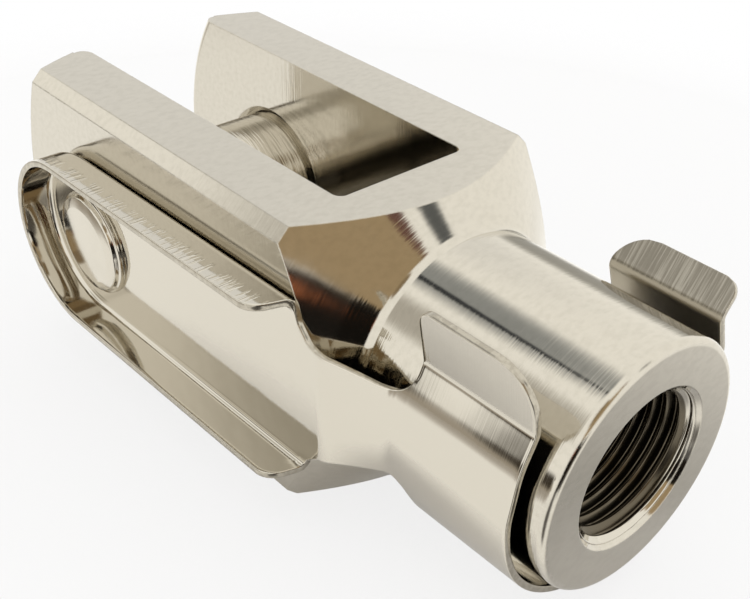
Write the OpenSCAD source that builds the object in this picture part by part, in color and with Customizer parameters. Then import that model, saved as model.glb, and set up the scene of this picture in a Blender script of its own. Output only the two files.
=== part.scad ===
// Fork head with a spring clip pin: the pivot mount on the end of a cylinder's piston rod.
// X runs along the neck towards the thread's mouth, Y along the pin, Z is up.
// The origin is on the pin's axis, midway between the prongs. Lengths are in millimetres.

/* [Fork head] */
// Side of the square bar that the fork is cut from
square_side = 32; // [28:0.5:40]
// Width of the slot between the prongs
slot_width = 16; // [12:0.5:18]
// Pin's axis to the bottom of the slot
slot_depth = 32; // [26:0.5:40]
// Radius in the corners at the bottom of the slot
slot_corner_r = 1; // [0.4:0.1:2]
// Pin's axis to the tips of the prongs, at the slot's walls
tip_reach = 18.8; // [15:0.5:26]
// Radius of the turned dome on the tips
tip_dome_r = 65; // [40:1:90]
// Slope of that dome at the slot's walls, from a square end
tip_slope = 21.5; // [15:0.5:30]
// Rounding of the tips' edges at the slot's walls
tip_round_r = 1.2; // [0.4:0.1:2]
// Chamfer along the bar's long edges
edge_chamfer = 1.25; // [0.5:0.05:3]
// Solid bar between the slot's bottom and the cone, on the middle of a flat
web_length = 6; // [4:0.2:9]
// Angle of the cone between bar and neck, from the axis
cone_angle = 50; // [40:0.5:60]

/* [Neck and thread] */
// Length of the round neck, from the cone to the end face
neck_length = 23.4; // [20:0.1:32]
// Diameter of the neck
neck_d = 25.8; // [22:0.2:27]
// Rounding of the neck's end
neck_end_r = 0.7; // [0.3:0.1:1.5]
// Fillet between cone and neck
neck_fillet_r = 1; // [0.5:0.1:3]
// Outer diameter of the thread
thread_d = 16; // [12:0.5:18]
// Plain drilled length between the slot's bottom and the thread
thread_runout = 4; // [2:0.5:8]
// Diameter of the drilled hole that runs on from the thread into the slot
drill_d = 14; // [8:0.5:15]
// Chamfer at the thread's mouth
mouth_chamfer = 0.4; // [0.2:0.1:1]

/* [Pin] */
// Diameter of the pin
pin_d = 16; // [12:0.5:18]
// Radial clearance of the pin in the prongs
pin_clearance = 0.05; // [0.02:0.01:0.1]
// Chamfer at the pin holes' edges
hole_chamfer = 0.75; // [0.2:0.05:1]
// How far the pin's free end stands out of the far prong
pin_standout = 1.6; // [0.5:0.1:4]
// Chamfer on the pin's free end
pin_chamfer = 1.2; // [0.5:0.1:2]
// Diameter of the spigot that is riveted through the clip
spigot_d = 10; // [7:0.5:11]
// Diameter of the rivet head on the clip's plate
rivet_d = 12.1; // [11.5:0.1:14]
// Diameter of the flat on top of the rivet head
rivet_flat_d = 9.6; // [8:0.1:10.4]
// Height of the rivet head
rivet_h = 1.35; // [1:0.05:1.8]
// Slope of the rivet head's side, from the pin's axis
rivet_side_angle = 32; // [20:1:40]

/* [Clip plate] */
// Thickness of the clip's spring sheet
sheet_t = 0.7; // [0.5:0.05:0.9]
// Gap between the plate and the prong's side
plate_gap = 0.15; // [0.1:0.05:0.6]
// Radius of the rim's round end
rim_r = 9.8; // [9:0.1:11.5]
// Height of the rim, from the back of the plate
rim_h = 4.55; // [3:0.1:6]
// Inner radius of the rim's fold
fold_r = 0.6; // [0.4:0.1:1]
// Pin's axis to the centre of the rim's round end, towards the tips
rim_offset = 0.4; // [0:0.1:2]
// Height of that centre above the pin's axis
rim_rise = 0.45; // [-0.5:0.05:1]
// Upward lean of the rim towards the neck
rim_lean = 0.9; // [0:0.1:3]
// How far the rim stops short of the bar's end
rim_setback = 1.8; // [1:0.1:4]
// Rounding of the rim's ends
rim_corner_r = 2.6; // [1:0.1:3]
// Radius of the relief where the lower rim ends
relief_r = 0.9; // [0.5:0.1:1.2]
// Upper edge of the strip between plate and neck, above the axis
strip_top = 7.3; // [5:0.1:8]
// Lower edge of that strip at the plate, below the axis
strip_low = 5.8; // [4:0.1:6.5]
// Lower edge of that strip at the wrap, below the axis
strip_low_end = 3.8; // [2:0.1:4]
// Radius in the corners between plate and strip
strip_corner_r = 2.2; // [1:0.1:2.6]
// Length from the bar's end to where the strip turns inwards
jog_start = 2; // [1.5:0.1:4]
// Length over which the strip turns inwards
jog_length = 6.3; // [5:0.1:8]
// Radius of the strip's two bends
jog_r = 4; // [2:0.5:5]

/* [Clip wrap] */
// How far the wrap stops short of the neck's end
wrap_setback = 2.6; // [1:0.1:5]
// Gap between the neck and the wrap under it
wrap_gap = 1.0; // [0.5:0.1:1.6]
// Gap between the neck's widest line and each arm's waist
waist_gap = 0.12; // [0.1:0.01:0.5]
// Height of the arms' feet above the axis, where the round wrap ends
arm_foot_h = 1; // [0.5:0.1:2]
// Radius of the bends at waist and bulge
arm_bend_r = 1.4; // [1:0.1:2]
// Height of the near arm's waist above the axis
near_waist_h = 8.8; // [8:0.1:12]
// Height of the near arm's bulge above the axis
near_bulge_h = 5.6; // [4:0.1:6.4]
// How far the arms bulge past the wrap's radius
bulge_out = 0.3; // [0.1:0.1:1.2]
// Length of the near tab above the waist
near_tab_h = 6; // [4:0.1:8]
// Outward lean of the near tab
near_tab_lean = 11; // [5:1:30]
// Height of the far arm's waist above the axis
far_waist_h = 9; // [7:0.1:11]
// Height of the far arm's bulge above the axis
far_bulge_h = 5.2; // [4:0.1:6.4]
// Length of the far tab above the waist
far_tab_h = 2.8; // [2:0.1:6]
// Outward lean of the far tab
far_tab_lean = 41; // [20:1:50]
// Rounding of the near tab's corner beside the end face, and of the far tab's beside the bar
wide_corner_r = 4.2; // [2:0.1:5]
// Rounding of the tabs' other corners
tight_corner_r = 1.6; // [0.5:0.1:3]
// How far the near tab is narrower than the wrap, beside the bar
tab_inset = 1.3; // [0.5:0.1:2.5]
// Radius where that narrowing runs out above the strip
inset_r = 1.2; // [0.4:0.1:1.5]

/* [Hidden] */
$fn = 96;
eps = 0.01;
over = 1;
arc_step = 6;

// Fork head
half = square_side / 2;
slot_half = slot_width / 2;
bar_end = slot_depth + web_length;
neck_r = neck_d / 2;
cone_run = (half - neck_r) / tan(cone_angle);
neck_start = bar_end + cone_run;
neck_end = neck_start + neck_length;
turned_r = half * sqrt(2) + over;
dome_x = tip_dome_r * cos(tip_slope) - tip_reach;
dome_r_offset = slot_half - tip_dome_r * sin(tip_slope);
tip_fall = dome_at(norm([slot_half, half])) + tip_reach;
tip_edge_r = (half * half + tip_fall * tip_fall) / (2 * tip_fall);
tip_edge_x = tip_edge_r - tip_reach;
tip_edge_span = 2 * asin(half / tip_edge_r) + 10;
thread_r = thread_d / 2;
thread_start = slot_depth + thread_runout;
pin_r = pin_d / 2;
hole_r = pin_r + pin_clearance;

// Clip
plate_back = half + plate_gap;
plate_front = plate_back + sheet_t;
rim_length = bar_end - rim_setback + rim_offset;
plate_length = bar_end + rim_offset;
plate_end = bar_end - eps;
rim_flat = rim_r - sheet_t - fold_r;
wrap_mid_r = neck_r + wrap_gap + sheet_t / 2;
bulge_r = wrap_mid_r + bulge_out;
waist_r = neck_r + waist_gap + sheet_t / 2;
near_tab_top = near_waist_h + near_tab_h;
far_tab_top = far_waist_h + far_tab_h;
jog_x = bar_end + jog_start;
jog_end = jog_x + jog_length;
wrap_start = jog_end + jog_r / 2;
wrap_end = neck_end - wrap_setback;
strip_end = wrap_start + sheet_t;
inset_low = strip_top + sheet_t / 2;

// Where the turned dome lies along X, at a radius from the axis
function dome_at(r) = dome_x - sqrt(tip_dome_r * tip_dome_r - (r - dome_r_offset) * (r - dome_r_offset));

// Sheet paths: a path goes through corners [x, y, bend radius], and each corner is rounded to its radius
function unit(v) = v / norm(v);
function left(v) = [-v[1], v[0]];
function flat2(p) = [p[0], p[1]];
function turn(v, a) = [v[0] * cos(a) - v[1] * sin(a), v[0] * sin(a) + v[1] * cos(a)];
function cross2(a, b) = a[0] * b[1] - a[1] * b[0];

// Points of one rounded corner, moved sideways by side
function corner(a, b, c, side) =
    let (
        come = unit(flat2(b) - flat2(a)),
        go = unit(flat2(c) - flat2(b)),
        sweep = acos(min(1, max(-1, come * go))),
        way = cross2(come, go) >= 0 ? 1 : -1,
        run = b[2] * tan(sweep / 2),
        centre = flat2(b) - come * run + left(come) * way * b[2],
        steps = max(1, ceil(sweep / arc_step))
    )
    [for (i = [0:steps])
        let (heading = turn(come, way * sweep * i / steps))
        centre - left(heading) * (way * b[2] - side)];

// The path's points, moved sideways by side
function path_side(path, side) =
    let (
        last = len(path) - 1,
        out = unit(flat2(path[1]) - flat2(path[0])),
        home = unit(flat2(path[last]) - flat2(path[last - 1]))
    )
    concat(
        [flat2(path[0]) + left(out) * side],
        [for (i = [1:last - 1]) each corner(path[i - 1], path[i], path[i + 1], side)],
        [flat2(path[last]) + left(home) * side]
    );

function reversed(list) = [for (i = [len(list) - 1:-1:0]) list[i]];

// Cross section of a bent sheet whose middle follows the path
module sheet(path, t) {
    polygon(concat(path_side(path, t / 2), reversed(path_side(path, -t / 2))));
}

// What a rounding of radius r takes off an outer corner at the origin, on the side of -x and -y
module corner_waste(r) {
    difference() {
        translate([-r, -r]) square(r + over);
        translate([-r, -r]) circle(r);
    }
}

// What a fillet of radius r fills into an inner corner at the origin, on the side of +x and +y
module corner_fill(r) {
    difference() {
        translate([-eps, -eps]) square(r + eps);
        translate([r, r]) circle(r);
    }
}

// Stands a drawing in Y and Z up along X
module along_x(x0, x1) {
    translate([x0, 0, 0]) rotate([90, 0, 90]) linear_extrude(x1 - x0) children();
}

// Stands a drawing in X and Z up from y0 to y1
module along_y(y0, y1) {
    translate([0, y1, 0]) rotate([90, 0, 0]) linear_extrude(y1 - y0) children();
}

// Half outline of the turned work: radius across, X up
module turned_outline() {
    fillet_run = neck_fillet_r * tan(cone_angle / 2);
    fillet_centre = [neck_r + neck_fillet_r, neck_start + fillet_run];
    difference() {
        intersection() {
            union() {
                translate([dome_r_offset, dome_x]) circle(tip_dome_r, $fn = 360);
                translate([0, dome_x]) square([turned_r, neck_end]);
            }
            polygon([
                [0, -tip_reach - tip_dome_r],
                [turned_r, -tip_reach - tip_dome_r],
                [turned_r, bar_end - (turned_r - half) / tan(cone_angle)],
                [neck_r + fillet_run * sin(cone_angle), neck_start - fillet_run * cos(cone_angle)],
                fillet_centre,
                [neck_r, fillet_centre[1]],
                [neck_r, neck_end],
                [0, neck_end]
            ]);
        }
        translate(fillet_centre) circle(neck_fillet_r);
        translate([neck_r, neck_end]) corner_waste(neck_end_r);
    }
}

// Slot between the prongs, seen from above
module slot_outline() {
    difference() {
        translate([-tip_reach - tip_dome_r, -slot_half])
            square([tip_reach + tip_dome_r + slot_depth, slot_width]);
        for (s = [-1, 1])
            translate([slot_depth, s * slot_half]) mirror([0, s < 0 ? 1 : 0]) corner_waste(slot_corner_r);
    }
}

// What rounds a tip's edge at the slot's wall. Seen from the side, that edge is close to an arc
module tip_edge_waste() {
    run = tip_round_r / tan((90 - tip_slope) / 2);
    centre = [tip_edge_r - run, slot_half + tip_round_r];
    on_dome = [tip_edge_r - run * sin(tip_slope), slot_half + run * cos(tip_slope)];
    outside = tip_edge_r + over;
    translate([tip_edge_x, 0, 0]) rotate([-90, 0, 0]) rotate(180 - tip_edge_span / 2)
        rotate_extrude(angle = tip_edge_span) difference() {
            polygon([
                [centre[0], slot_half - over],
                [outside, slot_half - over],
                [outside, on_dome[1]],
                on_dome,
                centre
            ]);
            translate(centre) circle(tip_round_r);
        }
}

// Pin hole through both prongs, with its edges broken at all four faces
module pin_hole() {
    rotate([90, 0, 0]) cylinder(r = hole_r, h = 2 * half + 2 * over, center = true);
    for (s = [-1, 1], face = [slot_half, half])
        rotate([s * 90, 0, 0])
            translate([0, 0, face == half ? half - hole_chamfer : slot_half])
                edge_cone(face == half);
}

// Cone that breaks one edge of the pin hole, wide end outwards or inwards
module edge_cone(outwards) {
    wide = hole_r + hole_chamfer;
    cylinder(r1 = outwards ? hole_r : wide, r2 = outwards ? wide : hole_r, h = hole_chamfer);
}

// Threaded hole, drawn at its outer diameter, with the drill hole that runs on into the slot
module thread_hole() {
    rotate([0, 90, 0]) {
        translate([0, 0, slot_depth - over]) cylinder(d = drill_d, h = neck_end - slot_depth);
        translate([0, 0, thread_start]) cylinder(r = thread_r, h = neck_end - thread_start + over);
        translate([0, 0, neck_end - mouth_chamfer])
            cylinder(r1 = thread_r, r2 = thread_r + mouth_chamfer, h = mouth_chamfer);
    }
}

module fork_head() {
    color("silver") difference() {
        intersection() {
            along_x(-tip_reach - over, neck_end + over) bar_section();
            rotate([90, 0, 90]) rotate_extrude() turned_outline();
        }
        translate([0, 0, -half - over]) linear_extrude(square_side + 2 * over) slot_outline();
        for (s = [0, 1]) mirror([0, s, 0]) tip_edge_waste();
        pin_hole();
        thread_hole();
    }
}

// Square bar with chamfered edges
module bar_section() {
    flat_half = half - edge_chamfer;
    polygon([for (q = [0:3], s = [-1, 1]) turn([half, s * flat_half], 90 * q)]);
}

// Half outline of the pin, from the rivet head at the bottom to the free end: radius across, Y up
module pin_outline() {
    free_end = half + pin_standout;
    shoulder_r = rivet_d / 2 - rivet_h / 2 * tan(rivet_side_angle);
    polygon([
        [0, -plate_front - rivet_h],
        [rivet_flat_d / 2, -plate_front - rivet_h],
        [shoulder_r, -plate_front - rivet_h / 2],
        [rivet_d / 2, -plate_front],
        [spigot_d / 2, -plate_front],
        [spigot_d / 2, -plate_back],
        [pin_r, -plate_back],
        [pin_r, free_end - pin_chamfer],
        [pin_r - pin_chamfer, free_end],
        [0, free_end]
    ]);
}

module clevis_pin() {
    color("gainsboro") rotate([-90, 0, 0]) rotate_extrude() pin_outline();
}

// Section of the plate's folded rim: distance from the rim's middle line across, depth up
module rim_section() {
    bend_at = [rim_flat, sheet_t + fold_r];
    translate([rim_flat - over, 0]) square([over + eps, sheet_t]);
    intersection() {
        difference() {
            translate(bend_at) circle(fold_r + sheet_t);
            translate(bend_at) circle(fold_r);
        }
        translate([rim_flat, 0]) square(fold_r + sheet_t);
    }
    translate([rim_r - sheet_t, sheet_t + fold_r - eps])
        square([sheet_t, rim_h - sheet_t - fold_r - sheet_t / 2 + eps]);
    translate([rim_r - sheet_t / 2, rim_h - sheet_t / 2]) circle(sheet_t / 2);
}

// Moves what is drawn about the rim's own middle line, with the plate's back at y = 0, to its place
module at_rim() {
    translate([-rim_offset, -plate_back, rim_rise]) rotate([0, -rim_lean, 0]) children();
}

// Folded rim: a round end about the pin, and a straight side above and below
module rim() {
    at_rim() difference() {
        union() {
            rotate([90, 0, 0]) rotate(90) rotate_extrude(angle = 180) rim_section();
            for (s = [0, 1]) mirror([0, 0, s]) rim_side();
        }
        translate([rim_length, -rim_h, 0])
            linear_extrude(2 * rim_r + 2 * over, center = true) rim_end_waste();
    }
}

// Straight side of the rim, above its middle line
module rim_side() {
    rotate([90, 0, 90]) mirror([1, 0, 0]) rotate(90) mirror([0, 1, 0])
        linear_extrude(rim_length + over) rim_section();
}

// What the rims' free ends lose, seen from above
module rim_end_waste() {
    mirror([0, 1]) corner_waste(rim_corner_r);
    translate([0, -over]) square([2 * over, rim_h + 2 * over]);
}

// Flat outline of plate and strip, in X and Z
module plate_outline() {
    translate([-rim_offset, rim_rise]) rotate(rim_lean) {
        circle(rim_flat);
        translate([0, -rim_flat]) square([rim_length, 2 * rim_flat]);
        translate([rim_length - eps, -rim_r]) square([plate_length - rim_length + eps, 2 * rim_r]);
    }
    polygon([
        [0, -strip_low],
        [plate_end, -strip_low],
        [strip_end, -strip_low_end],
        [strip_end, strip_top],
        [0, strip_top]
    ]);
    translate([plate_end, strip_top]) corner_fill(strip_corner_r);
    translate([plate_end, -strip_low]) mirror([0, 1]) corner_fill(strip_corner_r);
}

// Plate and strip: one sheet, flat along the bar, then turned in towards the neck
module plate() {
    mid_y = -plate_back - sheet_t / 2;
    path = [
        [-rim_r - rim_offset - over, mid_y],
        [jog_x, mid_y, jog_r],
        [jog_end, -wrap_mid_r, jog_r],
        [strip_end + over, -wrap_mid_r]
    ];
    difference() {
        intersection() {
            translate([0, 0, -2 * rim_r]) linear_extrude(4 * rim_r) sheet(path, sheet_t);
            along_y(-plate_front - over, 0) plate_outline();
        }
        rotate([90, 0, 0]) cylinder(d = spigot_d, h = plate_front + over);
        at_rim() translate([rim_length, 0, -rim_flat]) rotate([90, 0, 0])
            cylinder(r = relief_r, h = 2 * sheet_t + 2 * over, center = true);
    }
}

// Wrap: the C that grips the neck from below, with an arm and a flared tab on each side
module wrap() {
    path = [
        [-waist_r - near_tab_h * tan(near_tab_lean), near_tab_top],
        [-waist_r, near_waist_h, arm_bend_r],
        [-bulge_r, near_bulge_h, arm_bend_r],
        [-wrap_mid_r, arm_foot_h, arm_bend_r],
        [-wrap_mid_r, -wrap_mid_r, wrap_mid_r - eps],
        [wrap_mid_r, -wrap_mid_r, wrap_mid_r - eps],
        [wrap_mid_r, arm_foot_h, arm_bend_r],
        [bulge_r, far_bulge_h, arm_bend_r],
        [waist_r, far_waist_h, arm_bend_r],
        [waist_r + far_tab_h * tan(far_tab_lean), far_tab_top]
    ];
    reach = 2 * wrap_mid_r;
    difference() {
        along_x(wrap_start, wrap_end) sheet(path, sheet_t);
        along_y(-reach, 0) near_tab_waste();
        along_y(0, reach) far_tab_waste();
    }
}

// What the near tab's outline leaves of the sheet, in X and Z
module near_tab_waste() {
    translate([wrap_end, near_tab_top]) corner_waste(wide_corner_r);
    translate([wrap_start + tab_inset, near_tab_top]) mirror([1, 0]) corner_waste(tight_corner_r);
    difference() {
        translate([wrap_start - over, inset_low])
            square([over + tab_inset, near_tab_top - inset_low + over]);
        translate([wrap_start + tab_inset, inset_low]) mirror([0, 1]) corner_waste(inset_r);
    }
}

// What the far tab's outline leaves of the sheet, in X and Z
module far_tab_waste() {
    translate([wrap_end, far_tab_top]) corner_waste(tight_corner_r);
    translate([wrap_start, far_tab_top]) mirror([1, 0]) corner_waste(wide_corner_r);
}

module spring_clip() {
    color("lightgray") {
        plate();
        rim();
        wrap();
    }
}

fork_head();
clevis_pin();
spring_clip();
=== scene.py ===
# %% [markdown]
# # A fork head with its spring clip pin, in bright nickel
# A fork head screws onto a cylinder's piston rod and holds an eye between its prongs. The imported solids
# give every size and place, and this lesson dresses them. The fork's solid stays as it is, the thread
# gets its ridges, and pin and clip are drawn again, because bright metal shows every small bend.
# Lengths are written in millimetres and turned into metres where a mesh or a node takes them.

import bmesh
import bpy
import numpy as np
from mathutils import Matrix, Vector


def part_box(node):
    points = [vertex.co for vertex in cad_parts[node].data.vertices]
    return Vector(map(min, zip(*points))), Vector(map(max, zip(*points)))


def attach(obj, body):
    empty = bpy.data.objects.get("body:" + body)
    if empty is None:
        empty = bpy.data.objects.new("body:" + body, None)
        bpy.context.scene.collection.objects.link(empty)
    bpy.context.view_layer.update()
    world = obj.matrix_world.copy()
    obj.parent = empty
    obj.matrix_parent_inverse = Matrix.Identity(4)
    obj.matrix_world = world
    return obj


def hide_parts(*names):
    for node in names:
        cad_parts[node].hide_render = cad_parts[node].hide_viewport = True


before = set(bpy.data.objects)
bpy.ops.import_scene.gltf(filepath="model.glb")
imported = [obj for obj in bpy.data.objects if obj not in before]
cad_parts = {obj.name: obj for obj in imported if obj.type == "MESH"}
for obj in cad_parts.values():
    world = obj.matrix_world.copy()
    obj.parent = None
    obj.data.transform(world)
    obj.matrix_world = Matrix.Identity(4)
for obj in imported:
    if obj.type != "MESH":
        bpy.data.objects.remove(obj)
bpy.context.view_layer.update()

MM = 0.001


def node_box(name):
    """Lowest and highest corner of a solid, in millimetres."""
    low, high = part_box(name)
    return np.array(low) / MM, np.array(high) / MM


fork_low, fork_high = node_box("fork_head")
neck_end = float(fork_high[0])
print("nodes", sorted(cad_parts), "neck ends at", round(neck_end, 2))

# %% [markdown]
# ## The camera
# The photograph looks down on the part from the thread's side. Its frame is a crop of a wider picture,
# so the lens axis doesn't meet the middle of the image, and the camera is given a small shift instead
# of a turn.

# %% Camera
IMAGE_W, IMAGE_H = 750, 599
SENSOR = 36.0
view_turn, view_height, view_roll = np.radians([46.344, 37.315, 2.338])
view_distance = 127.963
view_target = np.array([30.0, 3.162, -11.045])
focal_pixels = 1138.337
axis_pixel = np.array([404.835, 375.3])

back = np.array([
    np.sin(view_turn) * np.cos(view_height),
    -np.cos(view_turn) * np.cos(view_height),
    np.sin(view_height),
])
level = np.array([np.cos(view_turn), np.sin(view_turn), 0.0])
steep = np.cross(back, level)
right = np.cos(view_roll) * level + np.sin(view_roll) * steep
up = -np.sin(view_roll) * level + np.cos(view_roll) * steep

lens = bpy.data.cameras.new("camera")
lens.sensor_width = SENSOR
lens.lens = focal_pixels * SENSOR / IMAGE_W
lens.shift_x = (IMAGE_W / 2 - axis_pixel[0]) / IMAGE_W
lens.shift_y = (axis_pixel[1] - IMAGE_H / 2) / IMAGE_W
lens.clip_start = 0.005
lens.clip_end = 20.0
camera = bpy.data.objects.new("camera", lens)
camera_place = np.eye(4)
camera_place[:3, 0] = right
camera_place[:3, 1] = up
camera_place[:3, 2] = back
camera_place[:3, 3] = (view_target + view_distance * back) * MM
camera.matrix_world = Matrix(camera_place.tolist())
bpy.context.scene.collection.objects.link(camera)
bpy.context.scene.camera = camera
print("lens %.1f mm, shift %.3f %.3f" % (lens.lens, lens.shift_x, lens.shift_y))

# %% [markdown]
# ## From arrays to meshes
# Each new surface is an array of points, rows by columns. A mesh could be built point by point, but
# whole arrays are quicker and shorter to write. One function numbers the squares of a grid, and one
# puts any number of grids into a mesh and welds the points where two grids meet.

# %% Grids
WELD = 0.002


def grid_squares(rows, columns, first):
    """Corner numbers of the squares of a rows by columns grid whose points are numbered from first."""
    number = first + np.arange(rows * columns).reshape(rows, columns)
    corners = [number[:-1, :-1], number[1:, :-1], number[1:, 1:], number[:-1, 1:]]
    return np.stack(corners, -1).reshape(-1, 4)


def mesh_of(name, points, faces):
    """A mesh from points in millimetres and faces that all have the same number of corners."""
    mesh = bpy.data.meshes.new(name)
    mesh.vertices.add(len(points))
    mesh.vertices.foreach_set("co", np.ravel(points * MM))
    mesh.loops.add(faces.size)
    mesh.loops.foreach_set("vertex_index", np.ravel(faces))
    mesh.polygons.add(len(faces))
    mesh.polygons.foreach_set("loop_start", np.arange(0, faces.size, faces.shape[1]))
    mesh.update(calc_edges=True)
    return mesh


def welded(name, *grids):
    """One smooth-shaded object at the origin from several grids. Points closer than WELD become one, so
    that borders close."""
    starts = np.cumsum([0] + [grid.shape[0] * grid.shape[1] for grid in grids])
    points = np.concatenate([grid.reshape(-1, 3) for grid in grids])
    faces = np.concatenate([grid_squares(*grid.shape[:2], first) for grid, first in zip(grids, starts)])
    mesh = mesh_of(name, points, faces)
    work = bmesh.new()
    work.from_mesh(mesh)
    bmesh.ops.remove_doubles(work, verts=work.verts, dist=WELD * MM)
    work.to_mesh(mesh)
    work.free()
    mesh.polygons.foreach_set("use_smooth", np.ones(len(mesh.polygons), bool))
    piece = bpy.data.objects.new(name, mesh)
    bpy.context.scene.collection.objects.link(piece)
    return piece


print("a grid of 3 by 4 points has", len(grid_squares(3, 4, 0)), "squares")

# %% [markdown]
# ## Rounded outlines
# A drawing gives a bent or turned part as straight lines with a radius in each corner. A curve object
# could hold that too, but arrays of points go straight into the surfaces, so one function draws such a
# line.

# %% Rounded paths
ARC_STEP = 0.05


def rounded_path(corners):
    """Points along straight lines through corners, rows of (across, up, radius). Each inner corner is an
    arc of its radius that touches both of its lines. Points on an arc lie about ARC_STEP apart."""
    corners = np.asarray(corners, float)
    spots, radii = corners[:, :2], corners[:, 2]
    points = [spots[:1]]
    for before, here, after, radius in zip(spots[:-2], spots[1:-1], spots[2:], radii[1:-1]):
        come = (here - before) / np.linalg.norm(here - before)
        go = (after - here) / np.linalg.norm(after - here)
        bend = np.arctan2(come[0] * go[1] - come[1] * go[0], come @ go)
        side = np.array([-come[1], come[0]]) * np.sign(bend)
        start = here - come * radius * np.tan(abs(bend) / 2)
        sweep = np.linspace(0, abs(bend), 2 + int(radius * abs(bend) / ARC_STEP))[:, None]
        points.append(start + radius * (np.sin(sweep) * come + (1 - np.cos(sweep)) * side))
    points.append(spots[-1:])
    return np.concatenate(points)


print("a corner of 1 mm radius takes", len(rounded_path([(0, 0, 0), (2, 0, 1), (2, 2, 0)])), "points")

# %% [markdown]
# ## The fork
# The real fork is milled and turned from square bar, then plated. The solid has that shape already,
# down to the chamfers and the rounded tips, so it stays as it is and only gets a better finish further
# down.

# %% Fork head
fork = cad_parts["fork_head"]
print("fork", len(fork.data.polygons), "faces")

# %% [markdown]
# ## The thread
# A thread is one ridge wound along the bore. A Screw modifier could wind it, but its radius depends
# only on how far round and how far along a point is, so the whole thread is one formula on a grid. At
# the mouth the countersink's cone cuts the ridges away. An outer wall at the bore closes the grid to a
# solid sleeve.

# %% Thread
THREAD_R = 8.0
GROOVE_R = THREAD_R - 0.02
PITCH = 1.5
RIDGE = 0.81
CREST_HALF, FLANK = 1 / 16, 3 / 8
MOUTH_CHAMFER = 0.4
THREAD_START = 36.2
STEPS_PER_PITCH = 16
ROUND_STEPS = 120
all_round = np.linspace(0, 2 * np.pi, ROUND_STEPS + 1)[None, :]


def thread_radius(along, angle):
    """A ridge of 60 degrees, flat at crest and root, that climbs one pitch a turn. Its crest and flanks
    are shares of the pitch. Where the countersink's cone of 45 degrees is wider than the ridge, the cone
    is the surface, and nothing is wider than the groove's bottom."""
    phase = (along / PITCH - angle / (2 * np.pi)) % 1.0
    flank = np.clip((np.abs(phase - 0.5) - CREST_HALF) / FLANK, 0, 1)
    ridge = GROOVE_R - RIDGE * (1 - flank)
    cone = THREAD_R + MOUTH_CHAMFER - (neck_end - along)
    return np.minimum(np.maximum(ridge, cone), GROOVE_R)


def sleeve(along, radius):
    """A round wall about the X axis: its points go round in Y and Z at a radius that may change."""
    y, z = radius * np.cos(all_round), radius * np.sin(all_round)
    return np.stack(np.broadcast_arrays(along, y, z), -1)


thread_along = np.arange(THREAD_START, neck_end - MOUTH_CHAMFER, PITCH / STEPS_PER_PITCH)[:, None]
ridges = sleeve(thread_along, thread_radius(thread_along, all_round))
bore_wall = sleeve(thread_along, THREAD_R)
foot_ring, mouth_ring = [np.stack([ridges[end], bore_wall[end]]) for end in (0, -1)]
thread = welded("thread", ridges, bore_wall[::-1], foot_ring[::-1], mouth_ring)
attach(thread, "fork")
print("thread", len(thread.data.polygons), "faces, pitch", PITCH)

# %% [markdown]
# ## The pin
# The pin is turned, and its near end is riveted over the clip's plate with a die that leaves a flat, a
# bevel and a step. A turned piece is its half outline swept round the axis. The outline could be swept
# by a Spin, but as a formula it needs no clean-up, and it holds every edge's small radius.

# %% Pin
PIN_R = 8.0
SPIGOT_R = 5.0
RIVET_R = 6.05
END_CHAMFER = 1.2
# Y of the two faces of the clip's plate, which the rivet holds
PLATE_BACK, PLATE_FRONT = -16.15, -16.85
pin_low, pin_high = node_box("clevis_pin")
head, free_end = float(pin_low[1]), float(pin_high[1])
# Half outline from the rivet's middle to the free end's middle: radius, place along Y, corner radius
outline = rounded_path([
    (0, head, 0),
    (4.35, head, 0.15),
    (5.5, head + 0.32, 0.3),
    (5.68, head + 0.8, 0.1),
    (5.95, head + 0.86, 0.08),
    (RIVET_R, PLATE_FRONT, 0.02),
    (SPIGOT_R, PLATE_FRONT, 0.02),
    (SPIGOT_R, PLATE_BACK, 0.02),
    (PIN_R, PLATE_BACK, 0.25),
    (PIN_R, free_end - END_CHAMFER, 0.3),
    (PIN_R - END_CHAMFER, free_end, 0.3),
    (0, free_end, 0),
])
pin_radius, pin_along = outline[:, :1], outline[:, 1:]
pin = welded("pin", np.stack(np.broadcast_arrays(
    pin_radius * np.cos(all_round), pin_along, pin_radius * np.sin(all_round)), -1))
pin.modifiers.new("flat faces stay flat", "WEIGHTED_NORMAL")
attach(pin, "clip")
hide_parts("clevis_pin")
print("pin", len(pin.data.polygons), "faces")

# %% [markdown]
# ## The spring clip: its fold
# The clip is one stamped sheet: a plate with a rim folded up round it, a strip that turns in behind the
# square bar, and a C that snaps round the neck. It could be cut from blocks, but a sheet is easier to
# get right as a middle surface, worked out from how far along the part and how far across the flat
# blank a point lies. The Solidify modifier gives it its thickness. The fold comes first.

# %% Clip fold
SHEET = 0.7
PLATE_GAP = 0.15
clip_low, clip_high = node_box("spring_clip")
plate_y = -(float(fork_high[2]) + PLATE_GAP + SHEET / 2)
RIM_R = 9.8
FOLD_R = 0.6 + SHEET / 2
RIM_FLAT = RIM_R - SHEET / 2 - FOLD_R
FOLD_LENGTH = FOLD_R * np.pi / 2
WALL = float(plate_y - FOLD_R - clip_low[1])
BLANK_HALF = RIM_FLAT + FOLD_LENGTH + WALL


def folded(across):
    """Where a point of the blank lies after the fold: distance from the rim's middle line, and depth in
    Y. Flat as far as RIM_FLAT, then a quarter round of radius FOLD_R, then straight out."""
    bend = np.clip((across - RIM_FLAT) / FOLD_LENGTH, 0, 1) * np.pi / 2
    distance = np.minimum(across, RIM_FLAT) + FOLD_R * np.sin(bend)
    depth = plate_y - FOLD_R * (1 - np.cos(bend)) - np.maximum(across - RIM_FLAT - FOLD_LENGTH, 0)
    return distance, depth


print("half of the blank is %.2f mm wide, %.2f mm of it stands up as the rim" % (BLANK_HALF, WALL))

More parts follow.
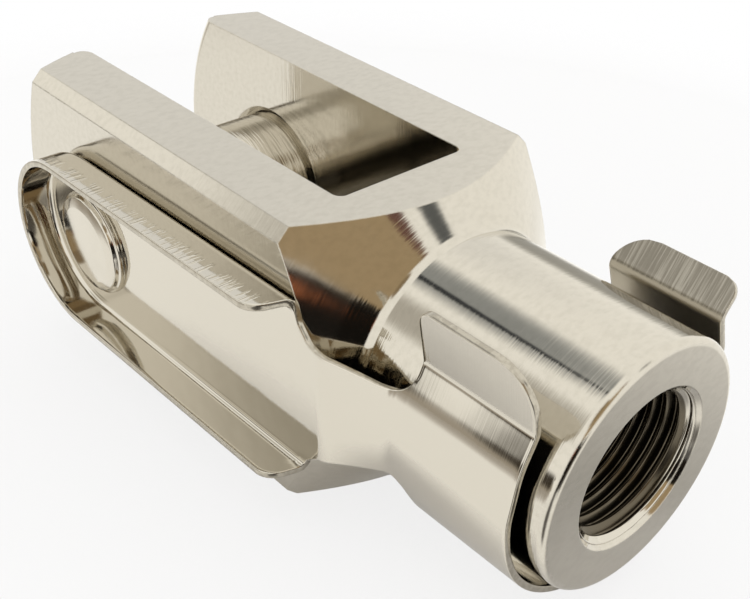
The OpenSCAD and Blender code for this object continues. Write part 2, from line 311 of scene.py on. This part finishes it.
# %% [markdown]
# ## The spring clip: its C and its strip
# The C has one section all along the neck: a tab that leans out, a waist that holds the neck, and a
# round that passes under it. So the section is drawn once, and a point's length along it says where the
# point lies. The strip is a line with two bends, from the plate's depth to the C's.

# %% Clip section and strip
WRAP_R = 14.3
WRAP_START = 48.3
WRAP_END = float(clip_high[0])
JOG_START, JOG_END, JOG_R = 40.0, 46.3, 4.0
# Section of the C: Y across, Z up, corner radius. It is written from the near tab's top to the far
# tab's top and then turned round, so that lengths grow towards the near tab
section = rounded_path([
    (-13.0, 14.75, 0),
    (-11.95, 8.75, 1.3),
    (-13.5, 5.4, 9.0),
    (-WRAP_R, 0.6, 6),
    (-WRAP_R, -WRAP_R, WRAP_R - 0.01),
    (WRAP_R, -WRAP_R, WRAP_R - 0.01),
    (WRAP_R, 0.6, 6),
    (14.0, 5.2, 2.2),
    (12.6, 9.2, 1.3),
    (14.7, 12.1, 0),
])[::-1]
section_run = np.concatenate([[0], np.cumsum(np.linalg.norm(np.diff(section, axis=0), axis=1))])
near_side = section[:, 0] < 0
section_run -= np.interp(0.0, section[near_side, 1], section_run[near_side])
FAR_TAB_TOP, NEAR_TAB_TOP = section_run[0], section_run[-1]
jog = rounded_path([
    (0, plate_y, 0),
    (JOG_START, plate_y, JOG_R),
    (JOG_END, -WRAP_R, JOG_R),
    (WRAP_END, -WRAP_R, 0),
])


def wrapped(height):
    """The C's Y and Z at a length along it, counted from the neck's axis on the near side."""
    return np.interp(height, section_run, section[:, 0]), np.interp(height, section_run, section[:, 1])


def turned_in(x):
    """How far the strip has turned in towards the neck: 0 on the plate, 1 on the C."""
    return (np.interp(x, jog[:, 0], jog[:, 1]) - plate_y) / (-WRAP_R - plate_y)


print("the C is %.1f mm long from tab to tab" % (NEAR_TAB_TOP - FAR_TAB_TOP))

# %% [markdown]
# ## The spring clip: the edges of its blank
# A die cuts the blank: the rim ends before the bar does, the strip is narrower, and round notches lead
# into the C. Each edge is a height over the rim's middle line at a row of stations along X, close
# together where the edge drops. The middle line leans up a little, as the rim does, and levels out on
# the strip.

# %% Blank edges
BAR_END = 38.0
RIM_CENTRE = np.array([-0.4, 0.45])
RIM_LEAN = np.radians(0.9)
TAB_INSET, NOTCH_R = 0.15, 2.8
LOW_NOTCH_R = 3.0
DROP_FROM, DROP_TO = 31.0, 41.0
stations = np.concatenate([
    np.linspace(RIM_CENTRE[0], DROP_FROM, 40)[:-1],
    np.linspace(DROP_FROM, DROP_TO, 90)[:-1],
    np.linspace(DROP_TO, WRAP_START, 30),
])


def smooth_step(value, low, high):
    """0 below low, 1 above high, and the smooth curve 3 t^2 - 2 t^3 between."""
    t = np.clip((value - low) / (high - low), 0, 1)
    return t * t * (3 - 2 * t)


def notch(along, radius):
    """How far a round notch moves an edge outwards: a circle's rise, from nothing at its foot."""
    return radius - np.sqrt(np.maximum(radius**2 - np.maximum(along, 0) ** 2, 0))


lean = RIM_LEAN * (1 - smooth_step(stations, BAR_END, WRAP_START))
climb = np.tan((lean[1:] + lean[:-1]) / 2) * np.diff(stations)
middle_z = RIM_CENTRE[1] + np.concatenate([[0], np.cumsum(climb)])
# X along, height over the middle line, corner radius
upper_line = rounded_path([
    (-5, BLANK_HALF, 0),
    (35.0, BLANK_HALF, 2.4),
    (36.95, 7.35, 1.2),
    (38.3, 5.8, 1.5),
    (45.2, 4.1, 6.0),
    (WRAP_START + 5, 4.1, 0),
])
lower_line = rounded_path([
    (-5, BLANK_HALF, 0),
    (36.0, BLANK_HALF, 2.4),
    (37.5, 8.2, 0.7),
    (39.4, 7.0, 1.5),
    (WRAP_START, 5.0, 0),
])
notch_foot = WRAP_START + TAB_INSET - NOTCH_R
strip_upper = np.interp(stations, upper_line[:, 0], upper_line[:, 1])
upper_edge = strip_upper + notch(stations - notch_foot, NOTCH_R)
lower_edge = np.interp(stations, lower_line[:, 0], lower_line[:, 1])
lower_edge += notch(stations - (WRAP_START - LOW_NOTCH_R), LOW_NOTCH_R)
print("the strip joins the C over %.1f mm" % (upper_edge[-1] + lower_edge[-1]))

# %% [markdown]
# ## The spring clip: plate, rim and strip
# The upper and the lower half of the blank are one grid each, stations along by shares across, and the
# rim's round end is a third. The shares lie closer together over the fold. Where the strip turns in, a
# point moves from its place on the plate over to its place on the C.

# %% Plate, rim and strip
FOLD_MARGIN = 0.2
END_ROWS = 48
fold_from, fold_to = RIM_FLAT - FOLD_MARGIN, RIM_FLAT + FOLD_LENGTH + FOLD_MARGIN
share = np.concatenate([
    np.linspace(0, fold_from, 20)[:-1],
    np.linspace(fold_from, fold_to, 16)[:-1],
    np.linspace(fold_to, BLANK_HALF, 8),
]) / BLANK_HALF


def plate_point(x, across, side):
    """The folded blank at x, side 1 above the middle line and -1 below it, tilted with the line's lean,
    and drawn over to the C's section by the share that the strip has turned in."""
    distance, depth = folded(across)
    tilt = np.interp(x, stations, lean)
    line_z = np.interp(x, stations, middle_z)
    x_flat = x - side * distance * np.sin(tilt)
    z_flat = line_z + side * distance * np.cos(tilt)
    y_wrap, z_wrap = wrapped(line_z + side * across)
    drawn = turned_in(x)
    return np.stack([x_flat, depth + drawn * (y_wrap - plate_y), z_flat + drawn * (z_wrap - z_flat)], -1)


upper = plate_point(stations[:, None], upper_edge[:, None] * share, 1)
lower = plate_point(stations[:, None], lower_edge[:, None] * share, -1)
end_angle = np.linspace(np.pi / 2, 3 * np.pi / 2, END_ROWS)[:, None] + RIM_LEAN
end_distance, end_depth = folded(BLANK_HALF * share[None, :])
round_end = np.stack(np.broadcast_arrays(
    RIM_CENTRE[0] + end_distance * np.cos(end_angle),
    end_depth,
    RIM_CENTRE[1] + end_distance * np.sin(end_angle),
), -1)
print("grids", upper.shape[:2], lower.shape[:2], round_end.shape[:2])

# %% [markdown]
# ## The spring clip: its C
# The C is a grid of lengths along the section by steps along the neck. Where the strip joins, it takes
# the strip's own points, so that the two weld. Its tabs have one wide and one tight corner each.

# %% C round the neck
WIDE_CORNER, TIGHT_CORNER = 4.2, 1.6
strip_shares = np.concatenate([-lower_edge[-1] * share[:0:-1], upper_edge[-1] * share])
strip_heights = middle_z[-1] + strip_shares
strip_top = strip_heights[-1]
heights = np.concatenate([
    np.linspace(FAR_TAB_TOP, strip_heights[0], 200)[:-1],
    strip_heights,
    np.linspace(strip_top, NEAR_TAB_TOP, 44)[1:],
])


def round_corner(top, radius):
    """How far an edge runs in where a corner of this radius is rounded off at the length top."""
    into = np.clip(np.abs(heights - top), 0, radius)
    return radius - np.sqrt(radius**2 - (radius - into) ** 2)


notch_rise = upper_edge[-1] - strip_upper[-1]
notch_left = np.clip(NOTCH_R - notch_rise - np.maximum(heights - strip_top, 0), 0, NOTCH_R)
notch_edge = notch_foot + np.sqrt(NOTCH_R**2 - notch_left**2)
left_edge = np.where(heights > strip_top, notch_edge, WRAP_START)
left_edge += round_corner(NEAR_TAB_TOP, TIGHT_CORNER) + round_corner(FAR_TAB_TOP, WIDE_CORNER)
right_edge = WRAP_END - round_corner(NEAR_TAB_TOP, WIDE_CORNER) - round_corner(FAR_TAB_TOP, TIGHT_CORNER)
wrap_x = left_edge[:, None] + (right_edge - left_edge)[:, None] * np.linspace(0, 1, 32)
wrap_y, wrap_z = wrapped(heights[:, None])
wrap = np.stack(np.broadcast_arrays(wrap_x, wrap_y, wrap_z), -1)
print("grid", wrap.shape[:2])

# %% [markdown]
# ## The spring clip: a sheet with a thickness
# The four grids are welded to one middle surface. Solidify makes it a sheet and gives the cut edge a
# material of its own, and a fine Bevel takes the sharpness off that edge, as tumbling does.

# %% Clip
EDGE_ROUND = 0.1
clip = welded("clip", upper, lower[::-1], round_end[::-1], wrap[::-1])
sheet = clip.modifiers.new("sheet", "SOLIDIFY")
sheet.thickness = SHEET * MM
sheet.offset = 0
sheet.use_even_offset = True
sheet.material_offset_rim = 1
soft_edges = clip.modifiers.new("soft edges", "BEVEL")
soft_edges.limit_method = "ANGLE"
soft_edges.angle_limit = np.radians(50)
soft_edges.width = EDGE_ROUND * MM
soft_edges.segments = 2
soft_edges.use_clamp_overlap = False
clip.modifiers.new("smooth sheet", "WEIGHTED_NORMAL")
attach(clip, "clip")
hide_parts("spring_clip")
print("clip", len(clip.data.polygons), "faces in the sheet's middle")

# %% [markdown]
# ## Materials
# Everything is nickel plate on steel, but each piece was finished in its own way. All finishes start
# alike: a function adds a node and links it, one draws marks of a size in millimetres, and one lays
# colour and relief on bright metal. The marks are noise drawn out along an axis, since no image is
# used.

# %% Material helpers
MAP, MATH, VECTOR = "ShaderNodeMapRange", "ShaderNodeMath", "ShaderNodeVectorMath"
XYZ = "ShaderNodeSeparateXYZ"
SMOOTH = {"interpolation_type": "SMOOTHSTEP"}
TIMES, LARGER = {"operation": "MULTIPLY"}, {"operation": "MAXIMUM"}


def linear(hex_colour):
    """An sRGB hex value as linear red, green, blue and alpha."""
    srgb = np.array([int(hex_colour[i:i + 2], 16) for i in (1, 3, 5)]) / 255
    rgb = np.where(srgb <= 0.04045, srgb / 12.92, ((srgb + 0.055) / 1.055) ** 2.4)
    return (*rgb.tolist(), 1.0)


def add(tree, kind, inputs=(), out=0, **settings):
    """Adds a node with its settings and returns one of its outputs. Inputs are a list in the node's
    order, or a dictionary, and each is a value or another node's output to link."""
    made = tree.nodes.new(kind)
    for name, value in settings.items():
        setattr(made, name, value)
    for key, value in inputs.items() if isinstance(inputs, dict) else enumerate(inputs):
        if isinstance(value, bpy.types.NodeSocket):
            tree.links.new(value, made.inputs[key])
        else:
            made.inputs[key].default_value = value
    return made.outputs[out] if made.outputs else None


def new_material(name):
    """An empty node material, its node tree, and the piece's own coordinates."""
    material = bpy.data.materials.new(name)
    material.use_nodes = True
    tree = material.node_tree
    tree.nodes.clear()
    return material, tree, add(tree, "ShaderNodeTexCoord", out="Object")


def marks(tree, place, size, stretch=(1, 1, 1), detail=2.0):
    """Marks of a size in millimetres, drawn out along the axes whose stretch is small."""
    drawn = add(tree, VECTOR, [place, stretch], **TIMES)
    return add(tree, "ShaderNodeTexNoise", {"Vector": drawn, "Scale": 1 / (size * MM), "Detail": detail})


def nickel(tree, colour, spots, share, roughness, layers, normal=None):
    """Bright metal whose colour turns to spots where share is 1, and the same second colour also lays
    painted shade. Its relief is layers of (height, depth in millimetres), each laid over the one before."""
    for height, depth in layers:
        bump = {"Height": height, "Distance": depth * MM, "Strength": 1.0}
        if normal:
            bump["Normal"] = normal
        normal = add(tree, "ShaderNodeBump", bump)
    colours = {0: share, 6: linear(colour), 7: linear(spots)}
    tone = add(tree, "ShaderNodeMix", colours, 2, data_type="RGBA")
    metal = {"Base Color": tone, "Metallic": 1.0, "Roughness": roughness, "Normal": normal}
    add(tree, "ShaderNodeOutputMaterial", [add(tree, "ShaderNodeBsdfPrincipled", metal)])


print("nickel's pale grey in linear light", [round(c, 3) for c in linear("#D0CBC0")[:3]])

# %% [markdown]
# ## Nickel on the fork
# A cutter crossed the slot's walls and a lathe went round the neck, and both left fine lines across
# their way. The outer faces are tumbled nearly smooth. Masks on the coordinates put the lines where
# they belong. The solid's edges are sharp, so the Bevel node rounds each a little, in the light only.

# %% Fork finish
TOOL_LINE, TOOL_DEPTH = 0.2, 0.008
SLOT_HALF, SLOT_BORDER = 8.05, 0.15
EDGE_SOFTNESS = 0.2
fork_nickel, tree, place = new_material("nickel on milled and turned steel")
axes = add(tree, XYZ, [place]).node.outputs
soft_edge = add(tree, "ShaderNodeBevel", {"Radius": EDGE_SOFTNESS * MM}, samples=4)
off_middle = add(tree, MATH, [axes[1]], operation="ABSOLUTE")
in_slot = add(tree, MAP, [off_middle, SLOT_HALF * MM, (SLOT_HALF + SLOT_BORDER) * MM, 1.0, 0.3], **SMOOTH)
turned = add(tree, MAP, [axes[0], BAR_END * MM, (BAR_END + 1) * MM, 0.0, 1.0], **SMOOTH)
tooled = add(tree, MATH, [in_slot, turned], **LARGER)
# Lines far coarser than a cutter's own, so that they show as a soft streak in each reflection
lines = add(tree, MATH, [marks(tree, place, TOOL_LINE, (1, 0.02, 0.02), 1.0), tooled], **TIMES)
# A slow wave of 3 mm keeps the flats from looking like glass
wave = marks(tree, place, 3.0)
# Clouds of 0.6 mm, as tumbling leaves them, a shade darker
cloud = add(tree, MAP, [marks(tree, place, 0.6, (1, 0.6, 1), 4.0), 0.35, 0.75, 0.0, 1.0], **SMOOTH)
rough = add(tree, MAP, [tooled, 0.0, 1.0, 0.12, 0.08], **SMOOTH)
nickel(tree, "#D0CBC0", "#CAC5BA", cloud, rough, [(wave, 0.01), (lines, TOOL_DEPTH)], soft_edge)
print(fork_nickel.name, len(tree.nodes), "nodes")

# %% [markdown]
# ## Nickel on the pin
# Turning leaves rings round the pin, broken here and there, so that light sparkles along it. The rings
# are noise that is squeezed along the pin and drawn out round it, with shade painted into their valleys.
# Its two ends are smooth, because the die and the facing cut left no rings there.

# %% Pin finish
RING, RING_DEPTH = 0.2, 0.03
SHANK_HALF, SHANK_BORDER = 15.0, 0.6
pin_nickel, tree, place = new_material("nickel on a turned pin")
axes = add(tree, XYZ, [place]).node.outputs
# Rings coarser than a lathe's own feed, so that they show
rings = marks(tree, place, RING, (0.05, 1, 0.05), 1.0)
off_middle = add(tree, MATH, [axes[1]], operation="ABSOLUTE")
shank = add(tree, MAP, [off_middle, SHANK_HALF * MM, (SHANK_HALF + SHANK_BORDER) * MM, 1.0, 0.1], **SMOOTH)
low_rings = add(tree, MAP, [rings, 0.5, 0.3, 0.0, 1.0], **SMOOTH)
# Painted shade: the colour darkens in the rings' valleys, where the rings run low
painted_valley_shade = add(tree, MATH, [shank, low_rings], **TIMES)
shank_rings = add(tree, MATH, [rings, shank], **TIMES)
nickel(tree, "#D3CEC3", "#B8B3A7", painted_valley_shade, 0.12, [(shank_rings, RING_DEPTH)])
print(pin_nickel.name, len(tree.nodes), "nodes")

# %% [markdown]
# ## Nickel on the clip
# Rolled sheet is smooth, with a slow wave in it. The die scuffed the upper flange beside its fold, and
# the tabs are brushed, the far one most. Both tabs also get painted shade, the far one darkest. Each of
# these is one pattern under a mask on the coordinates, which is simpler than painting the sheet, and it
# stays in place when the clip swings.

# %% Clip finish: where
# Each zone's soft border along its axis: the flange's height, its fold, the rim's end, the C's start, the
# far side, the far tab above its waist, and both tabs
FLANGE_Z, FOLD_Y, RIM_END_X = np.array([(9.4, 9.8), (-19.2, -18.4), (37, 36)]) * MM
WRAP_X, FAR_Y, FAR_TAB_Z, TABS_Z = np.array([(44, 50), (9, 11), (9.2, 9.7), (8.4, 9.4)]) * MM
TAB_PAINTED_SHADE = 0.22
clip_nickel, tree, place = new_material("nickel on spring sheet")
axes = add(tree, XYZ, [place]).node.outputs
on_flange = add(tree, MAP, [axes[2], *FLANGE_Z, 0.0, 1.0], **SMOOTH)
off_fold = add(tree, MAP, [axes[1], *FOLD_Y, 1.0, 0.0], **SMOOTH)
on_rim = add(tree, MAP, [axes[0], *RIM_END_X, 0.0, 1.0], **SMOOTH)
flange_edge = add(tree, MATH, [on_flange, off_fold], **TIMES)
scuffed = add(tree, MATH, [flange_edge, on_rim], **TIMES)
on_wrap = add(tree, MAP, [axes[0], *WRAP_X, 0.0, 1.0], **SMOOTH)
far_side = add(tree, MAP, [axes[1], *FAR_Y, 0.0, 1.0], **SMOOTH)
above_waist = add(tree, MAP, [axes[2], *FAR_TAB_Z, 0.0, 1.0], **SMOOTH)
far_tab = add(tree, MATH, [far_side, above_waist], **TIMES)
# Painted shade: the C's tabs, above about 9 mm, are coloured darker
tab_painted_shade = add(tree, MAP, [axes[2], *TABS_Z, 0.0, TAB_PAINTED_SHADE], **SMOOTH)
tabs_painted_shade = add(tree, MATH, [on_wrap, tab_painted_shade], **TIMES)
print("masks for flange, wrap and tabs")

# %% Clip finish: what
# A wave of 6 mm bends long reflections. Brush lines of 0.22 mm and scuffs of 0.4 mm run across the sheet,
# coarser than real ones so that they show
wave = marks(tree, place, 6.0)
brush = marks(tree, place, 0.22, (1, 0.03, 0.03))
scuffs = add(tree, MAP, [marks(tree, place, 0.4, (1, 0.1, 0.1)), 0.5, 0.62, 0.0, 1.0], **SMOOTH)
# Painted shade on the far tab: it is coloured darker all over, more along some of its brush lines
brush_dark = add(tree, MAP, [brush, 0.35, 0.65, 1.3, 0.65], **SMOOTH)
far_tab_lines_and_painted_shade = add(tree, MATH, [far_tab, brush_dark], **TIMES)
# The tabs' painted shade and the far tab's brush lines darken the colour together
brush_lines_and_painted_shade = add(tree, MATH, [far_tab_lines_and_painted_shade, tabs_painted_shade], **LARGER)
rough = add(tree, MAP, [far_side, 0.0, 1.0, 0.07, 0.3], **SMOOTH)
flange_scuffs = add(tree, MATH, [scuffs, scuffed], **TIMES)
wrap_brush = add(tree, MATH, [brush, on_wrap], **TIMES)
tab_brush = add(tree, MATH, [brush, far_tab], **TIMES)
clip_layers = [(wave, 0.025), (flange_scuffs, 0.03), (wrap_brush, 0.002), (tab_brush, 0.04)]
nickel(tree, "#D1CCC1", "#8F8A80", brush_lines_and_painted_shade, rough, clip_layers)
print(clip_nickel.name, len(tree.nodes), "nodes")

# %% [markdown]
# ## The clip's cut edge
# Shears leave a sheet's edge torn, and plating follows the tears, so the edge is duller than the faces.
# It has a material slot of its own, which the Solidify modifier fills.

# %% Cut edge finish
TEAR, TEAR_DEPTH = 0.5, 0.004
cut_edge, tree, place = new_material("sheared edge of the sheet")
# Tears nearly as long as the sheet is thick break up the thin bright line that an edge would be
tears = marks(tree, place, TEAR)
torn = add(tree, MAP, [tears, 0.4, 0.6, 0.0, 1.0], **SMOOTH)
nickel(tree, "#BDB7AA", "#AFA99C", torn, 0.18, [(tears, TEAR_DEPTH)])
print(cut_edge.name, len(tree.nodes), "nodes")

# %% [markdown]
# ## The thread's steel
# The thread inside the bore is painted dark, as shade. The countersink at the mouth was cut last
# and is bright. One mask along X parts the two, because they are one mesh.

# %% Thread finish
DARK_FROM, DARK_BORDER = 1.3, 0.1
thread_nickel, tree, place = new_material("steel in the thread with painted shade")
axes = add(tree, XYZ, [place]).node.outputs
mouth = (neck_end - DARK_FROM) * MM
# Painted shade: inside the bore the thread is coloured dark
inside = add(tree, MAP, [axes[0], mouth, mouth + DARK_BORDER * MM, 1.0, 0.0], **SMOOTH)
rough = add(tree, MAP, [inside, 0.0, 1.0, 0.1, 0.22], **SMOOTH)
# Rings of 0.1 mm from the tap, too fine to see one by one, spread each glint a little
tap_rings = marks(tree, place, 0.1, (1, 0.05, 0.05))
nickel(tree, "#D0CBC0", "#655E51", inside, rough, [(tap_rings, 0.003)])
print(thread_nickel.name, len(tree.nodes), "nodes")

# %% [markdown]
# ## Dressing the pieces
# A material sits in a slot of the mesh. The clip has two slots, its faces' and its cut edge's.

# %% Pieces and materials


def dress(piece, *materials):
    """Gives a piece its materials, the main one first."""
    piece.data.materials.clear()
    for material in materials:
        piece.data.materials.append(material)


dress(fork, fork_nickel)
dress(thread, thread_nickel)
dress(clip, clip_nickel, cut_edge)
dress(pin, pin_nickel)
print("materials", [material.name for material in bpy.data.materials])

# %% [markdown]
# ## The tent
# A mirror shows what stands round it, so lamps alone would leave the nickel black. The light is a white
# tent that is darker on one side, where it is open. The tent is the world's colour by direction: soft
# round patches, each laid over those before. The camera itself sees plain white.

# %% World
TENT_STRENGTH = 1.18
scene = bpy.context.scene
scene.view_settings.view_transform = "Standard"
scene.world = bpy.data.worlds.new("tent")
scene.world.use_nodes = True
sky = scene.world.node_tree
sky.nodes.clear()
looking = add(sky, "ShaderNodeTexCoord", out="Generated")

# Rows of colour, turn about Z, height over the horizon, and half angles of the full patch and of its
# soft border, in degrees. First paler and greyer cloth at the back and low on the right
paler_cloth = [
    ("#E8E7E4", 153, 20, 6, 32),
    ("#8A8884", 56, -58, 6, 32),
    ("#A3A19A", 121, -4, 5, 18),
]
# The tent's open side: a brown wall with darkness under it, and small warm and grey spots
open_side = [
    ("#A99474", -11, 28, 17, 21),
    ("#A99474", 6, 38, 6, 9),
    ("#6A4A42", 13, 39, 1.5, 5),
    ("#5E6060", 34, 36, 3, 7),
    ("#3A342B", -44, -32, 11, 25),
    ("#8F7C60", -32, 48, 9, 13),
    ("#241F19", -37, -12, 8, 15),
    ("#1E1A15", -19, -6, 11, 15),
    ("#3A342B", -3, -14, 9, 15),
    ("#14120F", -24, 8, 7, 9),
    ("#14120F", -34, 7, 10, 12.5),
    ("#B06A45", -35, 12.5, 2.2, 5.0),
]
# A gap between table and tent along the left, with the cloth's darker foot
table_gap = []
for gap_turn in (-160, -145, -130, -115, -100):
    table_gap += [("#A39A8C", gap_turn, -9, 2, 13), ("#3E372E", gap_turn, -2, 2, 8)]
# Grey cloth over that gap and overhead, and a seam in it
grey_cloth = [
    ("#BDB9B0", -134, 36, 5, 16),
    ("#8E897E", -179, 40, 3, 10),
    ("#989A99", -175, 56, 2, 16),
]
seam = [
    ("#2A2C30", -168 + 1.3 * step, 51 + 2 * step, 1.0 - 0.1 * step, 2.6 - 0.2 * step)
    for step in range(6)
]


def patch(under, colour, turn, height, inner, outer):
    """Lays a soft round patch over the colour under it. The cosine of the angle between a direction and
    the patch's middle says how much of the patch shows there."""
    t, h, full, none = np.radians([turn, height, inner, outer])
    middle = [np.cos(t) * np.cos(h), np.sin(t) * np.cos(h), np.sin(h)]
    near = add(sky, VECTOR, [looking, middle], "Value", operation="DOT_PRODUCT")
    cover = add(sky, MAP, [near, np.cos(none), np.cos(full), 0.0, 1.0], **SMOOTH)
    return add(sky, "ShaderNodeMix", {0: cover, 6: under, 7: linear(colour)}, 2, data_type="RGBA")


tent = linear("#FFFDF7")
patches = paler_cloth + open_side + table_gap + grey_cloth + seam
for one_patch in patches:
    tent = patch(tent, *one_patch)
lit = add(sky, "ShaderNodeBackground", [tent, TENT_STRENGTH])
plain = add(sky, "ShaderNodeBackground", [linear("#FFFFFF"), 1.0])
in_camera = add(sky, "ShaderNodeLightPath", out="Is Camera Ray")
add(sky, "ShaderNodeOutputWorld", [add(sky, "ShaderNodeMixShader", [in_camera, lit, plain])])
print("tent of", len(patches), "patches")

# %% [markdown]
# ## The floor
# The part lies on white paper. A disc stands for it, which fades out far from the part, so no edge
# shows. For the camera it is mostly see-through and keeps only the part's shadow. Mirrors see it close
# to the part and the tent further out. From below it isn't there.

# %% Floor
FLOOR_R = 140.0
FLOOR_STEPS = 96
FADE_FROM, FADE_TO = 0.3 * FLOOR_R, 0.95 * FLOOR_R
NEAR_PART, OFF_PART = 22.0, 32.0
PART_STRETCH = (0.55, 1, 0)
floor_middle = np.array([23.0, 0.0, float(fork_low[2])])
disc_ring = np.array([0.0, FLOOR_R])[:, None]
disc_angle = np.linspace(0, 2 * np.pi, FLOOR_STEPS + 1)[None, :]
disc_x, disc_y = disc_ring * np.cos(disc_angle), disc_ring * np.sin(disc_angle)
floor = welded("floor", floor_middle + np.stack([disc_x, disc_y, 0 * disc_x], -1))
print("floor", len(floor.data.polygons), "faces at height", round(float(floor_middle[2]), 2))

# %% [markdown]
# ## The floor's paper
# Matt paper scatters light evenly, so it has no gloss at all. Its share of see-through comes from the
# distance to the part, which is longer than it is wide, and from the kind of ray that asks.

# %% Paper finish
paper, tree, place = new_material("matt white paper")
from_middle = add(tree, VECTOR, [place, floor_middle * MM], operation="SUBTRACT")
distance_off = add(tree, VECTOR, [from_middle], "Value", operation="LENGTH")
fade = add(tree, MAP, [distance_off, FADE_FROM * MM, FADE_TO * MM, 0.0, 1.0], **SMOOTH)
part_shape = add(tree, VECTOR, [from_middle, PART_STRETCH], **TIMES)
part_off = add(tree, VECTOR, [part_shape], "Value", operation="LENGTH")
clear_of_part = add(tree, MAP, [part_off, NEAR_PART * MM, OFF_PART * MM, 0.15, 0.85], **SMOOTH)
rays = add(tree, "ShaderNodeLightPath").node.outputs
in_mirrors = add(tree, MATH, [rays["Is Glossy Ray"], clear_of_part], **TIMES)
in_camera = add(tree, MATH, [rays["Is Camera Ray"], 0.8], **TIMES)
lifted = add(tree, MATH, [in_camera, in_mirrors])
from_below = add(tree, "ShaderNodeNewGeometry", out="Backfacing")
hidden = add(tree, MATH, [fade, from_below], **LARGER)
see_through = add(tree, MATH, [hidden, lifted], **LARGER)
matt = add(tree, "ShaderNodeBsdfPrincipled", {
    "Base Color": linear("#EDEEF3"), "Roughness": 0.9, "Specular IOR Level": 0.0})
clear = add(tree, "ShaderNodeBsdfTransparent")
add(tree, "ShaderNodeOutputMaterial", [add(tree, "ShaderNodeMixShader", [see_through, matt, clear])])
dress(floor, paper)
print(paper.name, len(tree.nodes), "nodes")
